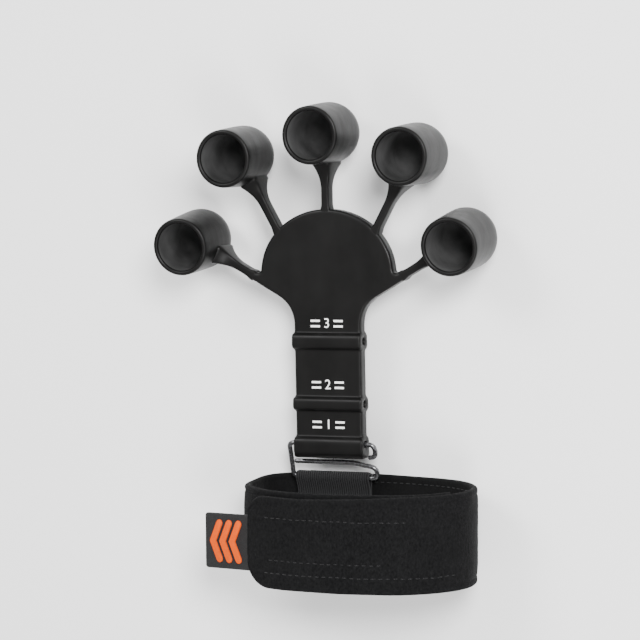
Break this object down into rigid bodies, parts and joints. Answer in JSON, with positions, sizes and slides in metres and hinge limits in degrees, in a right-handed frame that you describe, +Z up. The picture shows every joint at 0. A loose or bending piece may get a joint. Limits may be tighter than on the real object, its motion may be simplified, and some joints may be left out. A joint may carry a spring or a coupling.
{
  "type": "finger exerciser",
  "caption": "Soft silicone palm disc with thin stretching arms and finger cups; a bent wire hooks its stem to a webbing loop sewn in a hook-and-loop wristband with a pull tab.",
  "frame": {"origin": "Middle of the bounding box in X and Y, on the table at Z = 0.", "axes": "+Z up from the table, the side the marks and the cups' mouths face; +Y from the wristband towards the fingertips; +X to the right when the marks are read."},
  "size_m": [0.1412, 0.1958, 0.0523],
  "materials": {
    "silicone": "satin black silicone",
    "print": "white printed ink",
    "wire": "black-coated spring wire",
    "webbing": "ribbed black nylon webbing",
    "thread": "black sewing thread",
    "loop_fabric": "napped black loop fabric",
    "foam": "thin foam padding",
    "lining": "smooth knitted lining",
    "hook_tape": "moulded hook tape",
    "tab_fabric": "coated woven tape",
    "chevron": "raised orange rubber print"
  },
  "bodies": {
    "wristband": {"band_fabric": "loop_fabric", "band_core": "foam", "band_lining": "lining", "webbing_tail": "webbing", "webbing_box_stitch": "thread"},
    "flap": {"flap_fabric": "loop_fabric", "flap_core": "foam", "flap_lining": "lining", "hook_patch": "hook_tape", "flap_seam": "thread"},
    "pull_tab": {"pull_tab": "tab_fabric", "chevron_1": "chevron", "chevron_2": "chevron", "chevron_3": "chevron"},
    "webbing": {"webbing_loop": "webbing"},
    "hook": {"wire_hook": "wire"},
    "palm": {"palm_and_stem": "silicone", "level_mark_1": "print", "level_mark_2": "print", "level_mark_3": "print"},
    "arm_1": {"arm_1": "silicone"},
    "cup_1": {"cup_1": "silicone"},
    "arm_2": {"arm_2": "silicone"},
    "cup_2": {"cup_2": "silicone"},
    "arm_3": {"arm_3": "silicone"},
    "cup_3": {"cup_3": "silicone"},
    "arm_4": {"arm_4": "silicone"},
    "cup_4": {"cup_4": "silicone"},
    "arm_5": {"arm_5": "silicone"},
    "cup_5": {"cup_5": "silicone"}
  },
  "joints": [
    {"name": "flap_peel", "type": "hinge", "parent": "wristband", "child": "flap", "pos_m": [0.06547, -0.07659, 0.03076], "axis": [0, 1, 0], "range_deg": [0, 110]},
    {"name": "tab_flex", "type": "hinge", "parent": "flap", "child": "pull_tab", "pos_m": [-0.02295, -0.07923, 0.04517], "axis": [0, 1, 0], "range_deg": [-10, 60], "stiffness_Nm_per_rad": 0.012},
    {"name": "webbing_fold", "type": "hinge", "parent": "wristband", "child": "webbing", "pos_m": [0, -0.06377, 0.00675], "axis": [1, 0, 0], "range_deg": [0, 60], "stiffness_Nm_per_rad": 0.06},
    {"name": "hook_swing", "type": "hinge", "parent": "webbing", "child": "hook", "pos_m": [0, -0.05557, 0.0069], "axis": [-1, 0, 0], "range_deg": [-60, 20]},
    {"name": "palm_swing", "type": "hinge", "parent": "hook", "child": "palm", "pos_m": [0, -0.04139, 0.01214], "axis": [1, 0, 0], "range_deg": [-60, 40]},
    {"name": "arm_stretch_1", "type": "slide", "parent": "palm", "child": "arm_1", "axis": [-0.866, 0.4993, 0.0262], "range_m": [0, 0.018], "stiffness_N_per_m": 300, "deforming": ["arm_1"]},
    {"name": "cup_tilt_1", "type": "hinge", "parent": "arm_1", "child": "cup_1", "pos_m": [-0.04569, 0.035, 0.01574], "axis": [0.5, 0.8648, 0.0453], "range_deg": [-10, 50], "stiffness_Nm_per_rad": 0.15, "deforming": ["arm_1"]},
    {"name": "arm_stretch_2", "type": "slide", "parent": "palm", "child": "arm_2", "axis": [-0.4772, 0.8776, 0.046], "range_m": [0, 0.018], "stiffness_N_per_m": 300, "deforming": ["arm_2"]},
    {"name": "cup_tilt_2", "type": "hinge", "parent": "arm_2", "child": "cup_2", "pos_m": [-0.03111, 0.06368, 0.01725], "axis": [0.8788, 0.4765, 0.025], "range_deg": [-10, 50], "stiffness_Nm_per_rad": 0.15, "deforming": ["arm_2"]},
    {"name": "arm_stretch_3", "type": "slide", "parent": "palm", "child": "arm_3", "axis": [0, 0.9986, 0.0523], "range_m": [0, 0.018], "stiffness_N_per_m": 300, "deforming": ["arm_3"]},
    {"name": "cup_tilt_3", "type": "hinge", "parent": "arm_3", "child": "cup_3", "pos_m": [0, 0.07082, 0.01762], "axis": [1, 0, 0], "range_deg": [-10, 50], "stiffness_Nm_per_rad": 0.15, "deforming": ["arm_3"]},
    {"name": "arm_stretch_4", "type": "slide", "parent": "palm", "child": "arm_4", "axis": [0.4772, 0.8776, 0.046], "range_m": [0, 0.018], "stiffness_N_per_m": 300, "deforming": ["arm_4"]},
    {"name": "cup_tilt_4", "type": "hinge", "parent": "arm_4", "child": "cup_4", "pos_m": [0.03111, 0.06368, 0.01725], "axis": [0.8788, -0.4765, -0.025], "range_deg": [-10, 50], "stiffness_Nm_per_rad": 0.15, "deforming": ["arm_4"]},
    {"name": "arm_stretch_5", "type": "slide", "parent": "palm", "child": "arm_5", "axis": [0.866, 0.4993, 0.0262], "range_m": [0, 0.018], "stiffness_N_per_m": 300, "deforming": ["arm_5"]},
    {"name": "cup_tilt_5", "type": "hinge", "parent": "arm_5", "child": "cup_5", "pos_m": [0.04569, 0.035, 0.01574], "axis": [0.5, -0.8648, -0.0453], "range_deg": [-10, 50], "stiffness_Nm_per_rad": 0.15, "deforming": ["arm_5"]}
  ]
}
